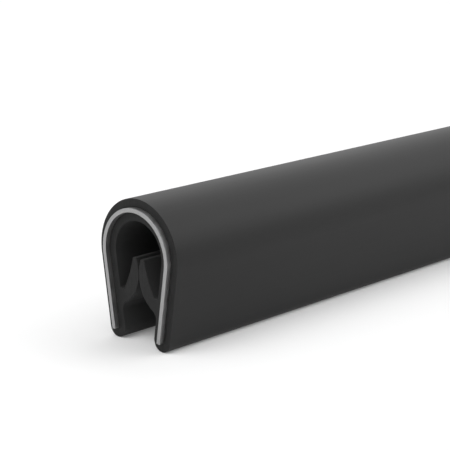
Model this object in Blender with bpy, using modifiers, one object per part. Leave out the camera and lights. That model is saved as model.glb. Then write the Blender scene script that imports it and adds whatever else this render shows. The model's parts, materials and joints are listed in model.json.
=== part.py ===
"""Edge trim seal: a length of black rubber U-section that clips over the edge of a sheet.

The rubber has a round crown, two legs that lean inwards and, between the legs, two curved
gripping lips. A steel strip, bent to the same U, runs inside the wall and stands a little
proud of both cut ends. The trim stands on its legs: X across, Y along its length, Z up, with
the origin at floor level under the middle of the length.
"""

import math

import bmesh
import bpy

# Driving dimensions of the whole trim, in metres
TRIM_LENGTH = 1.0
TRIM_WIDTH = 0.0109
TRIM_HEIGHT = 0.0145
LEG_LEAN = math.radians(8.7)

# The wall, from the outside in: rubber skin, steel strip, rubber skin
OUTER_SKIN = 0.00085
STRIP_THICKNESS = 0.00042
INNER_SKIN = 0.00090

# The steel strip
STRIP_STAND_OUT = 0.00053
STRIP_END_COVER = 0.00095
BOND_GAP = 0.00003
SLOT_PITCH = 0.005
SLOT_WIDTH = 0.0015
SLOT_DEPTH = 0.0065
CUT_OVERRUN = 0.002

# The gripping lips
LIP_GAP = 0.0001
LIP_NEAREST_HEIGHT = 0.0071
LIP_FACE_RADIUS = 0.0037
LIP_ROOT_RADIUS = 0.0009
LIP_TIP_HEIGHT = 0.0087
LIP_TIP_WIDTH = 0.00055
LIP_TIP_ROUND = 0.00012
LIP_BACK_HOLLOW = 0.00012
NOTCH_FLOOR_HEIGHT = 0.0053
NOTCH_WIDTH = 0.00052
NOTCH_ROUND = 0.00024

# Straight facets in each round stretch of the section
CROWN_STEPS = 24
LEG_END_STEPS = 14
FACE_STEPS = 14
ROOT_STEPS = 6
BACK_STEPS = 8
CORNER_STEPS = 4

# Sizes that follow from the ones above
WALL = OUTER_SKIN + STRIP_THICKNESS + INNER_SKIN
CROWN_RADIUS = TRIM_WIDTH / 2
CROWN_CENTRE_HEIGHT = TRIM_HEIGHT - CROWN_RADIUS
LEG_END_RADIUS = WALL / 2
RUBBER_LENGTH = TRIM_LENGTH - 2 * STRIP_STAND_OUT
INSIDE_STRIP = OUTER_SKIN + STRIP_THICKNESS

# Surface colours (linear), roughness and metallic value
RUBBER_LOOK = ((0.012, 0.012, 0.013, 1.0), 0.55, 0.0)
STEEL_LOOK = ((0.56, 0.57, 0.58, 1.0), 0.35, 1.0)


def clear_scene():
    for obj in list(bpy.data.objects):
        bpy.data.objects.remove(obj, do_unlink=True)


def make_collection(name, parent):
    collection = bpy.data.collections.new(name)
    parent.children.link(collection)
    return collection


def make_material(name, look):
    colour, roughness, metallic = look
    material = bpy.data.materials.new(name)
    material.use_nodes = True
    shader = material.node_tree.nodes["Principled BSDF"]
    shader.inputs["Base Color"].default_value = colour
    shader.inputs["Roughness"].default_value = roughness
    shader.inputs["Metallic"].default_value = metallic
    material.diffuse_color = colour
    return material


# Points of the section are pairs (x, z), and these functions give the right half of it


def leg_point(inset, down):
    """A point of the right leg, so far in from its outer face and so far down from the crown."""
    reach = CROWN_RADIUS - inset
    x = reach * math.cos(LEG_LEAN) - down * math.sin(LEG_LEAN)
    z = CROWN_CENTRE_HEIGHT - reach * math.sin(LEG_LEAN) - down * math.cos(LEG_LEAN)
    return (x, z)


def leg_point_at(inset, height):
    """The point of the right leg at this inset that has the given height."""
    start = leg_point(inset, 0)
    return leg_point(inset, (start[1] - height) / math.cos(LEG_LEAN))


def leg_length():
    """From the crown to the middle of the leg's round end, whose lowest point is at zero."""
    start = leg_point(LEG_END_RADIUS, 0)
    return (start[1] - LEG_END_RADIUS) / math.cos(LEG_LEAN)


def arc(centre, radius, start, end, steps):
    """Points on a circle from one angle to another, both ends included."""
    points = []
    for step in range(steps + 1):
        angle = start + (end - start) * step / steps
        x = centre[0] + radius * math.cos(angle)
        z = centre[1] + radius * math.sin(angle)
        points.append((x, z))
    return points


def crown(inset):
    """The crown at this inset, from its top to where the right leg starts."""
    centre = (0, CROWN_CENTRE_HEIGHT)
    return arc(centre, CROWN_RADIUS - inset, math.pi / 2, -LEG_LEAN, CROWN_STEPS)


def rounded(start, corner, end):
    """A smooth bend from start to end, which leaves and meets the sides of the corner."""
    points = []
    for step in range(CORNER_STEPS + 1):
        t = step / CORNER_STEPS
        shares = ((1 - t) ** 2, 2 * t * (1 - t), t**2)
        x = shares[0] * start[0] + shares[1] * corner[0] + shares[2] * end[0]
        z = shares[0] * start[1] + shares[1] * corner[1] + shares[2] * end[1]
        points.append((x, z))
    return points


def hollow(start, end, depth):
    """A line from start to end that bows by the given depth to the right of its direction."""
    run = (end[0] - start[0], end[1] - start[1])
    length = math.hypot(*run)
    points = []
    for step in range(BACK_STEPS + 1):
        t = step / BACK_STEPS
        bow = 4 * depth * t * (1 - t) / length
        points.append((start[0] + t * run[0] + bow * run[1], start[1] + t * run[1] - bow * run[0]))
    return points


def leg_end():
    """The full round at the bottom of the leg, from its outer face to its inner face."""
    centre = leg_point(LEG_END_RADIUS, leg_length())
    return arc(centre, LEG_END_RADIUS, -LEG_LEAN, -LEG_LEAN - math.pi, LEG_END_STEPS)


def lip_face():
    """The lip's gripping face: a fillet out of the leg's inner face, then one long curve."""
    face_centre = (LIP_GAP / 2 + LIP_FACE_RADIUS, LIP_NEAREST_HEIGHT)
    start = leg_point(WALL + LIP_ROOT_RADIUS, 0)
    reach = LIP_FACE_RADIUS + LIP_ROOT_RADIUS
    off = (start[0] - face_centre[0], start[1] - face_centre[1])
    along = off[0] * math.sin(LEG_LEAN) + off[1] * math.cos(LEG_LEAN)
    down = along + math.sqrt(along**2 + reach**2 - off[0] ** 2 - off[1] ** 2)
    root_centre = leg_point(WALL + LIP_ROOT_RADIUS, down)
    towards_face = math.atan2(face_centre[1] - root_centre[1], face_centre[0] - root_centre[0])
    root = arc(root_centre, LIP_ROOT_RADIUS, -LEG_LEAN, towards_face, ROOT_STEPS)
    rise = LIP_TIP_HEIGHT - LIP_TIP_ROUND - LIP_NEAREST_HEIGHT
    top = math.pi - math.asin(rise / LIP_FACE_RADIUS)
    face = arc(face_centre, LIP_FACE_RADIUS, towards_face + math.pi, top, FACE_STEPS)
    return root + face[1:]


def lip_tip_and_back(face_end):
    """From the gripping face over the blunt tip and down the lip's back into the notch."""
    inner = (face_end[0], LIP_TIP_HEIGHT)
    outer = (face_end[0] + LIP_TIP_WIDTH, LIP_TIP_HEIGHT)
    tip = rounded(face_end, inner, (inner[0] + LIP_TIP_ROUND, LIP_TIP_HEIGHT))
    floor_end = leg_point_at(WALL, NOTCH_FLOOR_HEIGHT)
    floor_start = (floor_end[0] - NOTCH_WIDTH, NOTCH_FLOOR_HEIGHT)
    slope = (floor_start[0] - outer[0]) / (outer[1] - floor_start[1])
    back_start = (outer[0] + slope * LIP_TIP_ROUND, LIP_TIP_HEIGHT - LIP_TIP_ROUND)
    back_end = (floor_start[0] - slope * NOTCH_ROUND, NOTCH_FLOOR_HEIGHT + NOTCH_ROUND)
    tip += rounded((outer[0] - LIP_TIP_ROUND, LIP_TIP_HEIGHT), outer, back_start)
    back = hollow(back_start, back_end, LIP_BACK_HOLLOW)
    floor_middle = ((floor_start[0] + floor_end[0]) / 2, NOTCH_FLOOR_HEIGHT)
    notch = rounded(back_end, floor_start, floor_middle)
    wall_point = leg_point_at(WALL, NOTCH_FLOOR_HEIGHT + NOTCH_ROUND)
    notch += rounded(floor_middle, floor_end, wall_point)[1:]
    return tip + back[1:-1] + notch


def rubber_half():
    """The right half of the rubber section, from the crown's top round to the hollow's top."""
    face = lip_face()
    lip = face + lip_tip_and_back(face[-1])[1:]
    return crown(0) + leg_end() + lip + list(reversed(crown(WALL)))


def strip_half(clearance):
    """The right half of the strip's U-section, made thicker all round by a clearance."""
    down = leg_length() + LEG_END_RADIUS - STRIP_END_COVER + clearance
    outer = crown(OUTER_SKIN - clearance) + [leg_point(OUTER_SKIN - clearance, down)]
    inner = crown(INSIDE_STRIP + clearance) + [leg_point(INSIDE_STRIP + clearance, down)]
    return outer + list(reversed(inner))


def both_halves(half):
    """A closed outline of the half, which runs from the middle plane back to it, and its mirror."""
    mirrored = [(-x, z) for x, z in reversed(half[1:-1])]
    return half + mirrored


def extrude_section(name, outlines, length, collection):
    """A flat section as a 2D curve, stood upright and drawn out along Y about the middle."""
    data = bpy.data.curves.new(name, "CURVE")
    data.dimensions = "2D"
    data.fill_mode = "BOTH"
    data.extrude = length / 2
    for outline in outlines:
        spline = data.splines.new("POLY")
        spline.points.add(len(outline) - 1)
        for point, (x, z) in zip(spline.points, outline):
            point.co = (x, z, 0, 1)
        spline.use_cyclic_u = True
    obj = bpy.data.objects.new(name, data)
    obj.rotation_euler = (math.pi / 2, 0, 0)
    collection.objects.link(obj)
    return obj


def to_mesh_object(curve_object, weld_distance):
    """The same solid as a mesh with its caps welded on, in place of the curve."""
    name = curve_object.name
    collection = curve_object.users_collection[0]
    bpy.context.view_layer.update()
    evaluated = curve_object.evaluated_get(bpy.context.evaluated_depsgraph_get())
    mesh = bpy.data.meshes.new_from_object(evaluated)
    work = bmesh.new()
    work.from_mesh(mesh)
    bmesh.ops.remove_doubles(work, verts=work.verts, dist=weld_distance)
    bmesh.ops.recalc_face_normals(work, faces=work.faces)
    work.to_mesh(mesh)
    work.free()
    matrix = curve_object.matrix_world.copy()
    bpy.data.objects.remove(curve_object, do_unlink=True)
    mesh.name = name
    obj = bpy.data.objects.new(name, mesh)
    obj.matrix_world = matrix
    collection.objects.link(obj)
    return obj


def make_rubber_profile(collection):
    """The rubber section, with the strip's U left open right through it."""
    outlines = [both_halves(rubber_half()), both_halves(strip_half(BOND_GAP))]
    obj = extrude_section("rubber_profile", outlines, RUBBER_LENGTH, collection)
    obj.data.materials.append(make_material("black rubber", RUBBER_LOOK))
    return obj


def make_slot_cutter(collection):
    """A row of boxes, one for each slot, that reach up both legs of the strip."""
    count = int(TRIM_LENGTH / SLOT_PITCH)
    strip_foot = leg_point(OUTER_SKIN, leg_length() + LEG_END_RADIUS - STRIP_END_COVER)[1]
    top = strip_foot + SLOT_DEPTH
    bottom = -CUT_OVERRUN
    bpy.ops.mesh.primitive_cube_add(size=1)
    obj = bpy.context.active_object
    obj.name = "slot_cutter"
    obj.scale = (TRIM_WIDTH + 2 * CUT_OVERRUN, SLOT_WIDTH, top - bottom)
    bpy.ops.object.transform_apply(location=False, rotation=False, scale=True)
    obj.location = (0, -(count - 1) * SLOT_PITCH / 2, (top + bottom) / 2)
    row = obj.modifiers.new("row of slots", "ARRAY")
    row.use_relative_offset = False
    row.use_constant_offset = True
    row.constant_offset_displace = (0, SLOT_PITCH, 0)
    row.count = count
    for home in list(obj.users_collection):
        home.objects.unlink(obj)
    collection.objects.link(obj)
    obj.hide_render = True
    obj.display_type = "WIRE"
    return obj


def make_steel_strip(collection, cutter):
    """The U-bent strip: one spine under the crown, and a row of ribs down each leg."""
    curve = extrude_section("steel_strip", [both_halves(strip_half(0))], TRIM_LENGTH, collection)
    obj = to_mesh_object(curve, BOND_GAP / 10)
    obj.data.materials.append(make_material("bare steel", STEEL_LOOK))
    slots = obj.modifiers.new("slots", "BOOLEAN")
    slots.operation = "DIFFERENCE"
    slots.object = cutter
    return obj


def main():
    clear_scene()
    root = bpy.context.scene.collection
    trim = make_collection("edge_trim_seal", root)
    cutters = make_collection("cutters", root)
    cutter = make_slot_cutter(cutters)
    make_rubber_profile(trim)
    make_steel_strip(trim, cutter)


main()
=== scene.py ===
"""Looks of a length of edge trim seal: black rubber over a bent steel strip, cut off square.

All lengths are in metres. X runs across the section, Y along the trim and Z up. The camera
looks at the front end, at -Y, from a little above and from the right.
"""

import json
import math

import bmesh
import bpy
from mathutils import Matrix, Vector

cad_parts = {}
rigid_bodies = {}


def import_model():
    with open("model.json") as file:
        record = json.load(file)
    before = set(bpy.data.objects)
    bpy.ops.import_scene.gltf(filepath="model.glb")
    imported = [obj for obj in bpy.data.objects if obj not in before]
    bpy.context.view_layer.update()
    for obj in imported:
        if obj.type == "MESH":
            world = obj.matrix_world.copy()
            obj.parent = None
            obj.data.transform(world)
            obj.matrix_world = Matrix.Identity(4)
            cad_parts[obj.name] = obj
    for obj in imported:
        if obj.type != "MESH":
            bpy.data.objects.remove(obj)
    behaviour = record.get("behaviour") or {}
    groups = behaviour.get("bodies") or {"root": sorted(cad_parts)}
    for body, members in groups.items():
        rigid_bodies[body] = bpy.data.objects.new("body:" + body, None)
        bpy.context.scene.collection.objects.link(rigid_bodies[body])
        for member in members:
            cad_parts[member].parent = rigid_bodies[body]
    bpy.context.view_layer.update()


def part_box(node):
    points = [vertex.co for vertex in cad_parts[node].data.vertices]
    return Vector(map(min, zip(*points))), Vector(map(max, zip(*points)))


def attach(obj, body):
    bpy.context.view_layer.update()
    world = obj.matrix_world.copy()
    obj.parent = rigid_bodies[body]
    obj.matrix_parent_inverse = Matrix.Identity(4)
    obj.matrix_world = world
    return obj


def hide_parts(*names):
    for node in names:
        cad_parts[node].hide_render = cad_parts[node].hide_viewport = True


MM = 0.001

# The section, as it was built
LEG_LEAN = math.radians(8.7)
OUTER_SKIN = 0.85 * MM
STRIP_THICKNESS = 0.42 * MM
INNER_SKIN = 0.90 * MM
STRIP_END_COVER = 0.95 * MM
BOND_GAP = 0.03 * MM
LIP_NEAREST_HEIGHT = 7.1 * MM
LIP_FACE_RADIUS = 3.7 * MM
LIP_ROOT_RADIUS = 0.9 * MM
LIP_TIP_ROUND = 0.12 * MM
NOTCH_WIDTH = 0.52 * MM
NOTCH_ROUND = 0.24 * MM
SLOT_PITCH = 5 * MM
SLOT_WIDTH = 1.5 * MM
SLOT_DEPTH = 6.5 * MM

# Lengths that follow the photograph: slimmer lips, closer together, and deeper notches than built
LIP_GAP = 0.03 * MM
LIP_TIP_HEIGHT = 8.67 * MM
LIP_TIP_WIDTH = 0.46 * MM
LIP_BACK_HOLLOW = 0.15 * MM
NOTCH_FLOOR_HEIGHT = 5.14 * MM

# The rounding of the cut edges, and the small values that the mesh tools need
CUT_EDGE_ROUND = 0.03 * MM
SHEARED_EDGE_ROUND = 0.04 * MM
CUT_OVERRUN = 2 * MM
SEED_SIZE = 1 * MM
SAME_PLACE = 0.001 * MM
FACING_ALONG = 0.5
SMOOTH_ANGLE = math.radians(20)

# Straight steps in each round stretch
CROWN_STEPS = 32
LEG_END_STEPS = 14
ROOT_STEPS = 8
FACE_STEPS = 16
BACK_STEPS = 8
CORNER_STEPS = 5
EDGE_STEPS = 2

# Finishes: each pattern's size along X, Y and Z, and its depth from top to bottom
BLOOM_PATCH = (6 * MM, 45 * MM, 6 * MM)
BLOOM_DULLING = 0.06
DIE_LINE = (0.3 * MM, 40 * MM, 0.3 * MM)
DIE_LINE_DEPTH = 0.0032 * MM
SKIN_GRAIN = (0.1 * MM, 0.12 * MM, 0.1 * MM)
SKIN_GRAIN_DEPTH = 0.0016 * MM
OUTER_SKIN_ROUGHNESS = 0.46
OUTER_SKIN_SPECULAR = 0.29
INNER_SKIN_ROUGHNESS = 0.53
INNER_SKIN_SPECULAR = 0.2
DRAG_LINE = (0.16 * MM, 0.16 * MM, 1.5 * MM)
DRAG_LINE_DEPTH = 0.0032 * MM
FILLER_GRAIN = (0.07 * MM, 0.07 * MM, 0.07 * MM)
FILLER_GRAIN_DEPTH = 0.0012 * MM
CUT_RUBBER_ROUGHNESS = (0.58, 0.7)
CUT_RUBBER_SPECULAR = 0.2
OIL_MOTTLE = (1.2 * MM, 2.5 * MM, 1.2 * MM)
ROLL_LINE = (0.05 * MM, 6 * MM, 0.05 * MM)
ROLL_LINE_DEPTH = 0.0008 * MM
ROLLED_STEEL_ROUGHNESS = (0.42, 0.5)
SHEAR_SMEAR = (0.08 * MM, 0.08 * MM, 0.3 * MM)
SHEAR_SMEAR_DEPTH = 0.0024 * MM
BROKEN_GRAIN = (0.04 * MM, 0.04 * MM, 0.04 * MM)
BROKEN_GRAIN_DEPTH = 0.0012 * MM
SHEARED_STEEL_ROUGHNESS = (0.5, 0.6)
NOISE_LOW = 0.3
NOISE_HIGH = 0.7

# The photograph: where the middle of the cut end shows in its 450 pixel square, and the camera
IMAGE_SIDE = 450
END_PIXEL = (134.27, 273.31)
END_HEIGHT = 7.31 * MM
CAMERA_AZIMUTH = math.radians(45.12)
CAMERA_ELEVATION = math.radians(15.01)
CAMERA_DISTANCE = 132.33 * MM
CAMERA_NEAREST = 10 * MM
CAMERA_LENS_MM = 111.08
SENSOR_MM = 36

# The studio: each soft light is its degrees from straight behind towards the right, its
# degrees up from the floor and its strength, and a greater fall-off makes them smaller
SOFT_LIGHTS = ((45, 30, 2.57), (-45, 30, 1.37), (0, 52, 1.31), (180, 52, 2.97))
LIGHT_FALL_OFF = 12
DOME_STRENGTH = 0.39

# The lamp, whose azimuth starts in front of the cut end, as the camera's does, and the floor
LAMP_DISTANCE = 250 * MM
LAMP_AZIMUTH = math.radians(-20)
LAMP_ELEVATION = math.radians(60)
LAMP_WIDTH = 175 * MM
LAMP_POWER = 0.112
FLOOR_SIDE = 20
FLOOR_COLOUR = (0.74, 0.74, 0.74, 1)
FLOOR_LIFT = 0.12

for startup_object in list(bpy.data.objects):
    bpy.data.objects.remove(startup_object)

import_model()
rubber_low, rubber_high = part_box("rubber_profile")
strip_low, strip_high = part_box("steel_strip")

WALL = OUTER_SKIN + STRIP_THICKNESS + INNER_SKIN
INSIDE_STRIP = OUTER_SKIN + STRIP_THICKNESS
TRIM_HEIGHT = rubber_high.z
CROWN_RADIUS = rubber_high.x
CROWN_CENTRE = Vector((0, 0, TRIM_HEIGHT - CROWN_RADIUS))
CROWN_TURN = math.pi / 2 + LEG_LEAN
LEG_END_RADIUS = WALL / 2
END_MIDDLE = Vector((0, strip_low.y, END_HEIGHT))


# Colours, nodes and materials


def linear(code):
    """A colour written as sRGB hex, as linear values with full alpha."""
    shares = [int(code[i : i + 2], 16) / 255 for i in (1, 3, 5)]
    return (*(s / 12.92 if s <= 0.04045 else ((s + 0.055) / 1.055) ** 2.4 for s in shares), 1)


def add_node(tree, kind, settings=None, inputs=None):
    """Adds a node, with its settings, and with each input set to a value or linked to a socket."""
    node = tree.nodes.new(kind)
    for name, value in (settings or {}).items():
        setattr(node, name, value)
    for name, value in (inputs or {}).items():
        if isinstance(value, bpy.types.NodeSocket):
            tree.links.new(value, node.inputs[name])
        else:
            node.inputs[name].default_value = value
    return node


def new_material(name):
    material = bpy.data.materials.new(name)
    material.use_nodes = True
    material.node_tree.nodes.clear()
    return material, material.node_tree


def finish_material(tree, inputs):
    shader = add_node(tree, "ShaderNodeBsdfPrincipled", inputs=inputs)
    add_node(tree, "ShaderNodeOutputMaterial", inputs={"Surface": shader.outputs["BSDF"]})


def pattern(tree, size, detail):
    """A pattern from 0 to 1 with spots of about the given size along X, Y and Z."""
    place = add_node(tree, "ShaderNodeTexCoord").outputs["Object"]
    scale = [1 / length for length in size]
    scaled = add_node(tree, "ShaderNodeMapping", inputs={"Vector": place, "Scale": scale})
    inputs = {"Vector": scaled.outputs["Vector"], "Scale": 1, "Detail": detail}
    noise = add_node(tree, "ShaderNodeTexNoise", inputs=inputs).outputs["Fac"]
    inputs = {"Value": noise, "From Min": NOISE_LOW, "From Max": NOISE_HIGH}
    return add_node(tree, "ShaderNodeMapRange", inputs=inputs).outputs["Result"]


def extruded_rubber(name, dark, light, roughness, specular):
    """EPDM rubber as it left the die and the oven.

    The eye gets a satin black with faint lines along the trim where the die dragged, a fine
    leathery grain, and a thin grey bloom that lies in long soft patches and dulls it there.
    The real grain is about 0.05 mm wide, too fine to show, so it is drawn twice as coarse.
    The inner skin is given paler colours than the outer skin as painted light, so that the channel and
    the lips read lighter, and it shines less.
    """
    material, tree = new_material(name)
    bloom = pattern(tree, BLOOM_PATCH, detail=3)
    die_lines = pattern(tree, DIE_LINE, detail=3)
    grain = pattern(tree, SKIN_GRAIN, detail=1)
    inputs = {"Fac": bloom, "Color1": linear(dark), "Color2": linear(light)}
    colour = add_node(tree, "ShaderNodeMixRGB", inputs=inputs).outputs["Color"]
    inputs = {"Value": bloom, "To Min": roughness, "To Max": roughness + BLOOM_DULLING}
    dulled = add_node(tree, "ShaderNodeMapRange", inputs=inputs).outputs["Result"]
    inputs = {"Height": die_lines, "Distance": DIE_LINE_DEPTH}
    lined = add_node(tree, "ShaderNodeBump", inputs=inputs).outputs["Normal"]
    inputs = {"Height": grain, "Distance": SKIN_GRAIN_DEPTH, "Normal": lined}
    grained = add_node(tree, "ShaderNodeBump", inputs=inputs).outputs["Normal"]
    inputs = {"Base Color": colour, "Roughness": dulled, "Normal": grained}
    finish_material(tree, {**inputs, "Specular IOR Level": specular})
    return material


def knife_cut_rubber():
    """The same rubber where a blade went through it.

    It is duller than the skin, with upright drag lines from the blade, a little paler on
    their ridges, and a fine tooth from the grains of filler.
    """
    material, tree = new_material("EPDM rubber, knife-cut face")
    drag_lines = pattern(tree, DRAG_LINE, detail=3)
    filler = pattern(tree, FILLER_GRAIN, detail=2)
    inputs = {"Fac": drag_lines, "Color1": linear("#1e1e1e"), "Color2": linear("#252525")}
    colour = add_node(tree, "ShaderNodeMixRGB", inputs=inputs).outputs["Color"]
    low, high = CUT_RUBBER_ROUGHNESS
    inputs = {"Value": filler, "To Min": low, "To Max": high}
    speckled = add_node(tree, "ShaderNodeMapRange", inputs=inputs).outputs["Result"]
    inputs = {"Height": drag_lines, "Distance": DRAG_LINE_DEPTH}
    lined = add_node(tree, "ShaderNodeBump", inputs=inputs).outputs["Normal"]
    inputs = {"Height": filler, "Distance": FILLER_GRAIN_DEPTH, "Normal": lined}
    toothed = add_node(tree, "ShaderNodeBump", inputs=inputs).outputs["Normal"]
    inputs = {"Base Color": colour, "Roughness": speckled, "Normal": toothed}
    finish_material(tree, {**inputs, "Specular IOR Level": CUT_RUBBER_SPECULAR})
    return material


def rolled_steel():
    """Cold-rolled mild steel strip.

    Its flats are a soft grey mirror with hair lines along the way it was rolled, and a little
    mottling where the oil that it came in has dulled it.
    """
    material, tree = new_material("mild steel strip, cold-rolled")
    mottle = pattern(tree, OIL_MOTTLE, detail=3)
    roll_lines = pattern(tree, ROLL_LINE, detail=2)
    inputs = {"Fac": mottle, "Color1": linear("#aaaaaa"), "Color2": linear("#b5b5b5")}
    colour = add_node(tree, "ShaderNodeMixRGB", inputs=inputs).outputs["Color"]
    low, high = ROLLED_STEEL_ROUGHNESS
    inputs = {"Value": mottle, "To Min": low, "To Max": high}
    mottled = add_node(tree, "ShaderNodeMapRange", inputs=inputs).outputs["Result"]
    inputs = {"Height": roll_lines, "Distance": ROLL_LINE_DEPTH}
    lined = add_node(tree, "ShaderNodeBump", inputs=inputs).outputs["Normal"]
    inputs = {"Base Color": colour, "Roughness": mottled, "Normal": lined}
    finish_material(tree, {**inputs, "Metallic": 1.0})
    return material


def sheared_steel():
    """The strip's cut end.

    The shear smears the metal across its thickness and then breaks it, so that the end is a
    duller grey than the flats, with smears that run down it and a fine broken grain.
    """
    material, tree = new_material("mild steel strip, sheared end")
    smears = pattern(tree, SHEAR_SMEAR, detail=2)
    grain = pattern(tree, BROKEN_GRAIN, detail=1)
    inputs = {"Fac": smears, "Color1": linear("#a2a2a2"), "Color2": linear("#adadad")}
    colour = add_node(tree, "ShaderNodeMixRGB", inputs=inputs).outputs["Color"]
    low, high = SHEARED_STEEL_ROUGHNESS
    inputs = {"Value": grain, "To Min": low, "To Max": high}
    broken = add_node(tree, "ShaderNodeMapRange", inputs=inputs).outputs["Result"]
    inputs = {"Height": smears, "Distance": SHEAR_SMEAR_DEPTH}
    smeared = add_node(tree, "ShaderNodeBump", inputs=inputs).outputs["Normal"]
    inputs = {"Height": grain, "Distance": BROKEN_GRAIN_DEPTH, "Normal": smeared}
    grained = add_node(tree, "ShaderNodeBump", inputs=inputs).outputs["Normal"]
    inputs = {"Base Color": colour, "Roughness": broken, "Normal": grained}
    finish_material(tree, {**inputs, "Metallic": 1.0})
    return material


# Places in the section


def leg_point(inset, down):
    """A point of the right leg, so far in from its outer face and so far down from the crown."""
    outwards = Vector((math.cos(LEG_LEAN), 0, -math.sin(LEG_LEAN)))
    downwards = Vector((-math.sin(LEG_LEAN), 0, -math.cos(LEG_LEAN)))
    return CROWN_CENTRE + (CROWN_RADIUS - inset) * outwards + down * downwards


def leg_point_at(inset, height):
    """The same, but for a height above the floor."""
    return leg_point(inset, (leg_point(inset, 0).z - height) / math.cos(LEG_LEAN))


def crown_top(inset):
    """The point so far in from the top of the crown."""
    return Vector((0, 0, TRIM_HEIGHT - inset))


LEG_LENGTH = (leg_point(LEG_END_RADIUS, 0).z - LEG_END_RADIUS) / math.cos(LEG_LEAN)
STRIP_DOWN = LEG_LENGTH + LEG_END_RADIUS - STRIP_END_COVER


# Drawing and shaping with the mesh tools


def start_line(name, point):
    """A new mesh of one point, in edit mode, from which a line is drawn on."""
    bpy.ops.object.select_all(action="DESELECT")
    bpy.ops.mesh.primitive_plane_add(size=SEED_SIZE)
    bpy.context.object.name = name
    bpy.context.object.data.name = name
    bpy.ops.object.mode_set(mode="EDIT")
    bpy.ops.mesh.select_mode(type="VERT")
    bpy.ops.mesh.select_all(action="SELECT")
    bpy.ops.mesh.merge(type="CENTER")
    bpy.ops.transform.translate(value=point)


def pen():
    """The point that the line has reached."""
    mesh = bmesh.from_edit_mesh(bpy.context.object.data)
    return next(v.co.copy() for v in mesh.verts if v.select)


def draw_to(point):
    bpy.ops.mesh.extrude_vertices_move(TRANSFORM_OT_translate={"value": point - pen()})


def draw_round(centre, turn, steps):
    """Goes on round a centre, clockwise as the section is seen from the front."""
    bpy.ops.mesh.spin(steps=steps, angle=turn, center=centre, axis=(0, -1, 0))


def turn_between(centre, start, end):
    """The clockwise angle from one point to another round a centre, seen from the front."""
    first = math.atan2(start.z - centre.z, start.x - centre.x)
    last = math.atan2(end.z - centre.z, end.x - centre.x)
    return (first - last) % (2 * math.pi)


def draw_hollow(end, depth, steps):
    """Goes on to a point along a shallow arc that bows to the right by the given depth."""
    start = pen()
    half = (end - start) / 2
    radius = (half.length_squared + depth**2) / (2 * depth)
    left = Vector((-half.z, 0, half.x)).normalized()
    centre = start + half + left * (radius - depth)
    draw_round(centre, -turn_between(centre, end, start), steps)


def close_line():
    """Joins the line's end to its start."""
    bpy.ops.mesh.select_all(action="SELECT")
    bpy.ops.mesh.remove_doubles(threshold=SAME_PLACE)


def round_corner(point, radius):
    """Rounds one corner of the closed line."""
    bpy.ops.mesh.select_all(action="DESELECT")
    mesh = bmesh.from_edit_mesh(bpy.context.object.data)
    corner = min(mesh.verts, key=lambda v: (v.co - point).length)
    corner.select_set(True)
    bmesh.update_edit_mesh(bpy.context.object.data)
    sides = [edge.other_vert(corner).co - corner.co for edge in corner.link_edges]
    reach = radius / math.tan(sides[0].angle(sides[1]) / 2)
    bpy.ops.mesh.bevel(offset=reach, segments=CORNER_STEPS, affect="VERTICES")
    close_line()


def select_faces(test):
    """Selects the faces whose middle and normal pass the test, and nothing else."""
    bpy.ops.mesh.select_mode(type="FACE")
    bpy.ops.mesh.select_all(action="DESELECT")
    mesh = bmesh.from_edit_mesh(bpy.context.object.data)
    for face in mesh.faces:
        face.select_set(test(face.calc_center_median(), face.normal))
    bmesh.update_edit_mesh(bpy.context.object.data)


def draw_rubber_half():
    """The right half of the rubber section as one closed line, with the strip's slot in it."""
    start_line("extruded_rubber", crown_top(0))
    draw_round(CROWN_CENTRE, CROWN_TURN, CROWN_STEPS)
    draw_to(leg_point(0, LEG_LENGTH))
    draw_round(leg_point(LEG_END_RADIUS, LEG_LENGTH), math.pi, LEG_END_STEPS)
    corners = draw_lip()
    draw_to(leg_point(WALL, 0))
    draw_round(CROWN_CENTRE, -CROWN_TURN, CROWN_STEPS)
    draw_to(crown_top(INSIDE_STRIP + BOND_GAP))
    draw_round(CROWN_CENTRE, CROWN_TURN, CROWN_STEPS)
    draw_to(leg_point(INSIDE_STRIP + BOND_GAP, STRIP_DOWN + BOND_GAP))
    draw_to(leg_point(OUTER_SKIN - BOND_GAP, STRIP_DOWN + BOND_GAP))
    draw_to(leg_point(OUTER_SKIN - BOND_GAP, 0))
    draw_round(CROWN_CENTRE, -CROWN_TURN, CROWN_STEPS)
    draw_to(crown_top(0))
    close_line()
    for corner, radius in corners:
        round_corner(corner, radius)


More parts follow.
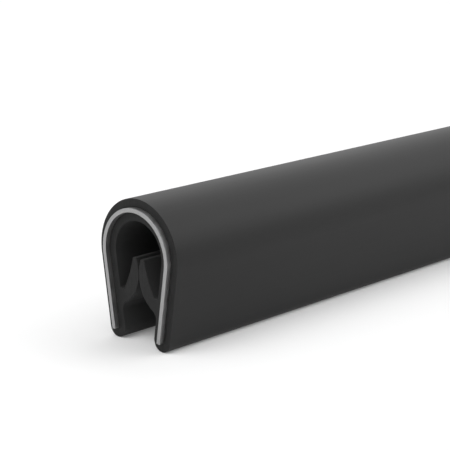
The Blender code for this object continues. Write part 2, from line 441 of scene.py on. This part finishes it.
def draw_lip():
    """The gripping lip, drawn on from the leg's round end and back to the leg above it."""
    face_centre = Vector((LIP_GAP / 2 + LIP_FACE_RADIUS, 0, LIP_NEAREST_HEIGHT))
    beside = leg_point(WALL + LIP_ROOT_RADIUS, 0)
    downwards = (leg_point(0, 1) - leg_point(0, 0)).normalized()
    reach = LIP_FACE_RADIUS + LIP_ROOT_RADIUS
    along = (face_centre - beside).dot(downwards)
    down = along + math.sqrt(along**2 + reach**2 - (face_centre - beside).length_squared)
    root_centre = leg_point(WALL + LIP_ROOT_RADIUS, down)
    root_start = leg_point(WALL, down)
    root_end = root_centre + (face_centre - root_centre) * (LIP_ROOT_RADIUS / reach)
    rise = LIP_TIP_HEIGHT - LIP_TIP_ROUND - LIP_NEAREST_HEIGHT
    run = math.sqrt(LIP_FACE_RADIUS**2 - rise**2)
    face_end = face_centre + Vector((-run, 0, rise))
    draw_to(root_start)
    draw_round(root_centre, -turn_between(root_centre, root_end, root_start), ROOT_STEPS)
    draw_round(face_centre, turn_between(face_centre, root_end, face_end), FACE_STEPS)
    tip_start = Vector((face_end.x, 0, LIP_TIP_HEIGHT))
    tip_end = tip_start + Vector((LIP_TIP_WIDTH, 0, 0))
    floor_end = leg_point_at(WALL, NOTCH_FLOOR_HEIGHT)
    floor_start = floor_end - Vector((NOTCH_WIDTH, 0, 0))
    draw_to(tip_start)
    draw_to(tip_end)
    draw_hollow(floor_start, LIP_BACK_HOLLOW, BACK_STEPS)
    draw_to(floor_end)
    tip_corners = [(tip_start, LIP_TIP_ROUND), (tip_end, LIP_TIP_ROUND)]
    return tip_corners + [(floor_start, NOTCH_ROUND), (floor_end, NOTCH_ROUND)]


def draw_strip_half():
    """The right half of the strip's U-section as one closed line."""
    start_line("bent_steel_strip", crown_top(OUTER_SKIN))
    draw_round(CROWN_CENTRE, CROWN_TURN, CROWN_STEPS)
    draw_to(leg_point(OUTER_SKIN, STRIP_DOWN))
    draw_to(leg_point(INSIDE_STRIP, STRIP_DOWN))
    draw_to(leg_point(INSIDE_STRIP, 0))
    draw_round(CROWN_CENTRE, -CROWN_TURN, CROWN_STEPS)
    draw_to(crown_top(OUTER_SKIN))
    close_line()
    round_corner(leg_point(OUTER_SKIN, STRIP_DOWN), SHEARED_EDGE_ROUND)
    round_corner(leg_point(INSIDE_STRIP, STRIP_DOWN), SHEARED_EDGE_ROUND)


def extrude_and_mirror(low, high):
    """Fills the drawn half section, draws it out from one end to the other and mirrors it."""
    bpy.ops.mesh.select_all(action="SELECT")
    bpy.ops.mesh.edge_face_add()
    bpy.ops.transform.translate(value=(0, low.y, 0))
    bpy.ops.mesh.extrude_region_move(TRANSFORM_OT_translate={"value": (0, high.y - low.y, 0)})
    select_faces(lambda middle, normal: abs(middle.x) < SAME_PLACE)
    bpy.ops.mesh.delete(type="FACE")
    bpy.ops.mesh.select_all(action="SELECT")
    bpy.ops.mesh.normals_make_consistent(inside=False)
    bpy.ops.object.mode_set(mode="OBJECT")
    piece = bpy.context.object
    mirror = piece.modifiers.new("other half", "MIRROR")
    mirror.merge_threshold = SAME_PLACE
    bpy.ops.object.modifier_apply(modifier=mirror.name)
    return piece


def cut_slots(strip):
    """Cuts the row of slots up both legs of the strip."""
    count = round((strip_high.y - strip_low.y) / SLOT_PITCH)
    foot = leg_point(OUTER_SKIN, STRIP_DOWN).z
    first_slot = strip_low.y + (SLOT_PITCH - SLOT_WIDTH) / 2
    low = Vector((-CROWN_RADIUS - CUT_OVERRUN, first_slot, -CUT_OVERRUN))
    high = Vector((CROWN_RADIUS + CUT_OVERRUN, low.y + SLOT_WIDTH, foot + SLOT_DEPTH))
    bpy.ops.object.select_all(action="DESELECT")
    bpy.ops.mesh.primitive_cube_add(size=1, scale=high - low, location=(low + high) / 2)
    cutter = bpy.context.object
    row = cutter.modifiers.new("row of slots", "ARRAY")
    row.use_relative_offset = False
    row.use_constant_offset = True
    row.constant_offset_displace = (0, SLOT_PITCH, 0)
    row.count = count
    bpy.ops.object.modifier_apply(modifier=row.name)
    bpy.context.view_layer.objects.active = strip
    slots = strip.modifiers.new("slots", "BOOLEAN")
    slots.object = cutter
    bpy.ops.object.modifier_apply(modifier=slots.name)
    bpy.data.objects.remove(cutter)


def round_cut_edges(radius):
    """Takes the sharpness off the edges all round the two cut ends."""
    bpy.ops.mesh.select_mode(type="EDGE")
    bpy.ops.mesh.select_all(action="DESELECT")
    mesh = bmesh.from_edit_mesh(bpy.context.object.data)
    for edge in mesh.edges:
        sides = [is_cut_end(face.calc_center_median(), face.normal) for face in edge.link_faces]
        edge.select_set(sides.count(True) == 1)
    bmesh.update_edit_mesh(bpy.context.object.data)
    bpy.ops.mesh.bevel(offset=radius, segments=EDGE_STEPS, affect="EDGES")


def is_inside(middle, normal):
    """Whether a face of the rubber lies inwards of the middle of the wall."""
    if middle.z > CROWN_CENTRE.z:
        return math.hypot(middle.x, middle.z - CROWN_CENTRE.z) < CROWN_RADIUS - WALL / 2
    return abs(middle.x) < leg_point_at(WALL / 2, middle.z).x


def is_cut_end(middle, normal):
    """Whether a face looks along the trim and lies at either cut end, not in a slot."""
    return abs(normal.y) > FACING_ALONG and abs(middle.y) > rubber_high.y - CUT_EDGE_ROUND


def finish_faces(material, test):
    """Gives the faces that pass the test a material of their own."""
    piece = bpy.context.object
    piece.data.materials.append(material)
    select_faces(test)
    piece.active_material_index = len(piece.data.materials) - 1
    bpy.ops.object.material_slot_assign()


def make_rubber():
    draw_rubber_half()
    piece = extrude_and_mirror(rubber_low, rubber_high)
    outer_finish = ("#151515", "#171717", OUTER_SKIN_ROUGHNESS, OUTER_SKIN_SPECULAR)
    # The inner skin's paler colours are painted light that lightens the channel and the lips; it is the
    # same black rubber.
    inner_finish_painted_light = ("#353535", "#393939", INNER_SKIN_ROUGHNESS, INNER_SKIN_SPECULAR)
    outer_skin = extruded_rubber("EPDM rubber, outer skin", *outer_finish)
    inner_skin_painted_light = extruded_rubber("EPDM rubber, inner skin, painted paler for light", *inner_finish_painted_light)
    piece.data.materials.append(outer_skin)
    bpy.ops.object.mode_set(mode="EDIT")
    round_cut_edges(CUT_EDGE_ROUND)
    # Faces inward of the wall's middle get the paler inner colours, which are painted light.
    finish_faces(inner_skin_painted_light, is_inside)
    finish_faces(knife_cut_rubber(), is_cut_end)
    bpy.ops.object.mode_set(mode="OBJECT")
    bpy.ops.object.shade_smooth_by_angle(angle=SMOOTH_ANGLE)
    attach(piece, "root")
    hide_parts("rubber_profile")
    return piece


def make_strip():
    draw_strip_half()
    piece = extrude_and_mirror(strip_low, strip_high)
    cut_slots(piece)
    piece.data.materials.append(rolled_steel())
    bpy.ops.object.mode_set(mode="EDIT")
    round_cut_edges(SHEARED_EDGE_ROUND)
    finish_faces(sheared_steel(), is_cut_end)
    bpy.ops.object.mode_set(mode="OBJECT")
    bpy.ops.object.shade_smooth_by_angle(angle=SMOOTH_ANGLE)
    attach(piece, "root")
    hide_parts("steel_strip")
    return piece


# The stage, the light and the camera


def make_floor():
    """A white floor that takes the shadow, and glows a little where it is seen or mirrored."""
    bpy.ops.object.select_all(action="DESELECT")
    bpy.ops.mesh.primitive_plane_add(size=FLOOR_SIDE)
    floor = bpy.context.object
    floor.name = "floor"
    material, tree = new_material("white floor")
    rays = add_node(tree, "ShaderNodeLightPath").outputs
    seen = rays["Is Camera Ray"]
    for ray in ("Is Glossy Ray", "Is Transmission Ray"):
        inputs = {0: seen, 1: rays[ray]}
        seen = add_node(tree, "ShaderNodeMath", {"operation": "MAXIMUM"}, inputs).outputs["Value"]
    inputs = {0: seen, 1: FLOOR_LIFT}
    lift = add_node(tree, "ShaderNodeMath", {"operation": "MULTIPLY"}, inputs).outputs["Value"]
    paint = add_node(tree, "ShaderNodeBsdfDiffuse", inputs={"Color": FLOOR_COLOUR})
    glow = add_node(tree, "ShaderNodeEmission", inputs={"Strength": lift})
    inputs = {0: paint.outputs["BSDF"], 1: glow.outputs["Emission"]}
    both = add_node(tree, "ShaderNodeAddShader", inputs=inputs)
    add_node(tree, "ShaderNodeOutputMaterial", inputs={"Surface": both.outputs["Shader"]})
    floor.data.materials.append(material)


def light_scene():
    """A dim dome with large soft lights in it, whose sheen the rubber shows as broad bands."""
    world = bpy.data.worlds.new("studio")
    bpy.context.scene.world = world
    world.use_nodes = True
    tree = world.node_tree
    tree.nodes.clear()
    direction = add_node(tree, "ShaderNodeTexCoord").outputs["Generated"]
    total = DOME_STRENGTH
    for around, above, strength in SOFT_LIGHTS:
        turn, tilt = math.radians(around), math.radians(above)
        centre = (math.sin(turn) * math.cos(tilt), math.cos(turn) * math.cos(tilt), math.sin(tilt))
        inputs = {0: direction, 1: centre}
        near = add_node(tree, "ShaderNodeVectorMath", {"operation": "DOT_PRODUCT"}, inputs)
        inputs = {0: near.outputs["Value"], 1: LIGHT_FALL_OFF, 2: -LIGHT_FALL_OFF}
        fall = add_node(tree, "ShaderNodeMath", {"operation": "MULTIPLY_ADD"}, inputs)
        inputs = {0: fall.outputs["Value"]}
        glow = add_node(tree, "ShaderNodeMath", {"operation": "EXPONENT"}, inputs)
        inputs = {0: glow.outputs["Value"], 1: strength, 2: total}
        total = add_node(tree, "ShaderNodeMath", {"operation": "MULTIPLY_ADD"}, inputs).outputs["Value"]
    inputs = {"Color": linear("#ffffff"), "Strength": total}
    surroundings = add_node(tree, "ShaderNodeBackground", inputs=inputs)
    add_node(tree, "ShaderNodeOutputWorld", inputs={"Surface": surroundings.outputs["Background"]})


def way_out(around, above):
    """The way out from the cut end, turned so far from its front to the right and so far up."""
    level = math.cos(above)
    return Vector((math.sin(around) * level, -math.cos(around) * level, math.sin(above)))


def make_lamp():
    """A round soft lamp in front of the cut end and above it, too near to reach all the trim."""
    data = bpy.data.lights.new("soft lamp", "AREA")
    data.shape = "DISK"
    data.size = LAMP_WIDTH
    data.energy = LAMP_POWER
    lamp = bpy.data.objects.new("soft lamp", data)
    bpy.context.scene.collection.objects.link(lamp)
    out = way_out(LAMP_AZIMUTH, LAMP_ELEVATION)
    lamp.location = END_MIDDLE + out * LAMP_DISTANCE
    lamp.rotation_euler = out.to_track_quat("Z", "Y").to_euler()
    lamp.visible_camera = False


def make_camera():
    """The photograph's camera: the end's middle is placed on its pixel by moving the camera."""
    data = bpy.data.cameras.new("camera")
    data.lens = CAMERA_LENS_MM
    data.sensor_width = SENSOR_MM
    data.clip_start = CAMERA_NEAREST
    camera = bpy.data.objects.new("camera", data)
    bpy.context.scene.collection.objects.link(camera)
    bpy.context.scene.camera = camera
    back = way_out(CAMERA_AZIMUTH, CAMERA_ELEVATION)
    right = Vector((math.cos(CAMERA_AZIMUTH), math.sin(CAMERA_AZIMUTH), 0))
    up = back.cross(right)
    pixel = SENSOR_MM / CAMERA_LENS_MM * CAMERA_DISTANCE / IMAGE_SIDE
    sideways = (END_PIXEL[0] - IMAGE_SIDE / 2) * pixel
    downwards = (END_PIXEL[1] - IMAGE_SIDE / 2) * pixel
    camera.location = END_MIDDLE + back * CAMERA_DISTANCE - right * sideways + up * downwards
    camera.rotation_euler = back.to_track_quat("Z", "Y").to_euler()


make_rubber()
make_strip()
make_floor()
light_scene()
make_lamp()
make_camera()

bpy.context.scene.view_settings.view_transform = "Standard"
